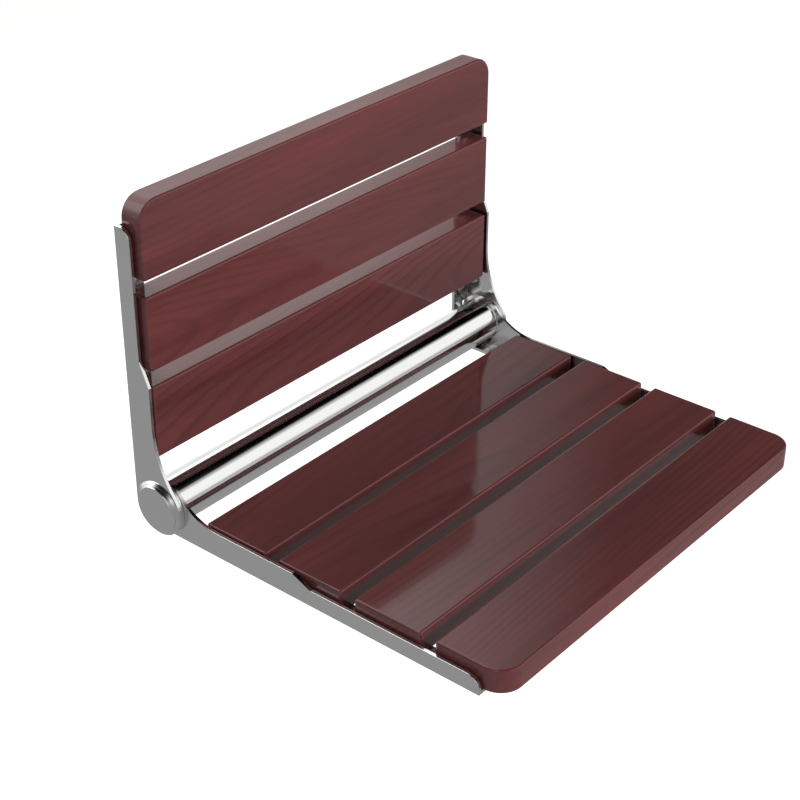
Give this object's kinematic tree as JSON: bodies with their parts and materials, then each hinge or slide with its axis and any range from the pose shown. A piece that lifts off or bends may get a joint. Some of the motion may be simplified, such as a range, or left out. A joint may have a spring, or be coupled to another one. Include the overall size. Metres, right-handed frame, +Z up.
{
  "type": "fold down wall seat",
  "caption": "Wall seat with a slatted wooden back and a slatted wooden seat on bent steel brackets; the seat folds up about a steel cross tube.",
  "frame": {"origin": "on the wall plane, midway between the four upper wall holes", "axes": "+Y into the wall, +Z up, +X to the right seen from the front; the seat is folded down"},
  "size_m": [0.4542, 0.3772, 0.2972],
  "materials": {
    "slat_wood": "mahogany stain under satin lacquer",
    "bracket_steel": "polished stainless sheet",
    "tube_chrome": "mirror polished tube",
    "cap_steel": "turned stainless steel",
    "weld_steel": "dressed and polished weld",
    "machined_steel": "machined stainless steel",
    "screw_steel": "stainless screws",
    "nylon": "natural nylon"
  },
  "bodies": {
    "wall_frame": {"back_bracket_left": "bracket_steel", "back_bracket_right": "bracket_steel", "back_slat_bottom": "slat_wood", "back_slat_middle": "slat_wood", "back_slat_top": "slat_wood", "back_slat_screws": "screw_steel", "pivot_bush_left": "nylon", "pivot_bush_right": "nylon", "friction_washer_left": "machined_steel", "friction_washer_right": "machined_steel", "hinge_cap_left": "cap_steel", "hinge_cap_right": "cap_steel", "stop_pin_left": "machined_steel", "stop_pin_right": "machined_steel"},
    "seat": {"seat_bracket_left": "bracket_steel", "seat_bracket_right": "bracket_steel", "seat_slat_rear": "slat_wood", "seat_slat_second": "slat_wood", "seat_slat_third": "slat_wood", "seat_slat_front": "slat_wood", "seat_slat_screws": "screw_steel", "cross_tube": "tube_chrome", "tube_ring_left": "weld_steel", "tube_ring_right": "weld_steel", "tube_plug_left": "machined_steel", "tube_plug_right": "machined_steel", "pivot_bolt_left": "machined_steel", "pivot_bolt_right": "machined_steel"}
  },
  "joints": [
    {"name": "seat_fold", "type": "hinge", "parent": "wall_frame", "child": "seat", "pos_m": [0, -0.0255, -0.15875], "axis": [-1, 0, 0], "range_deg": [0, 90]}
  ]
}
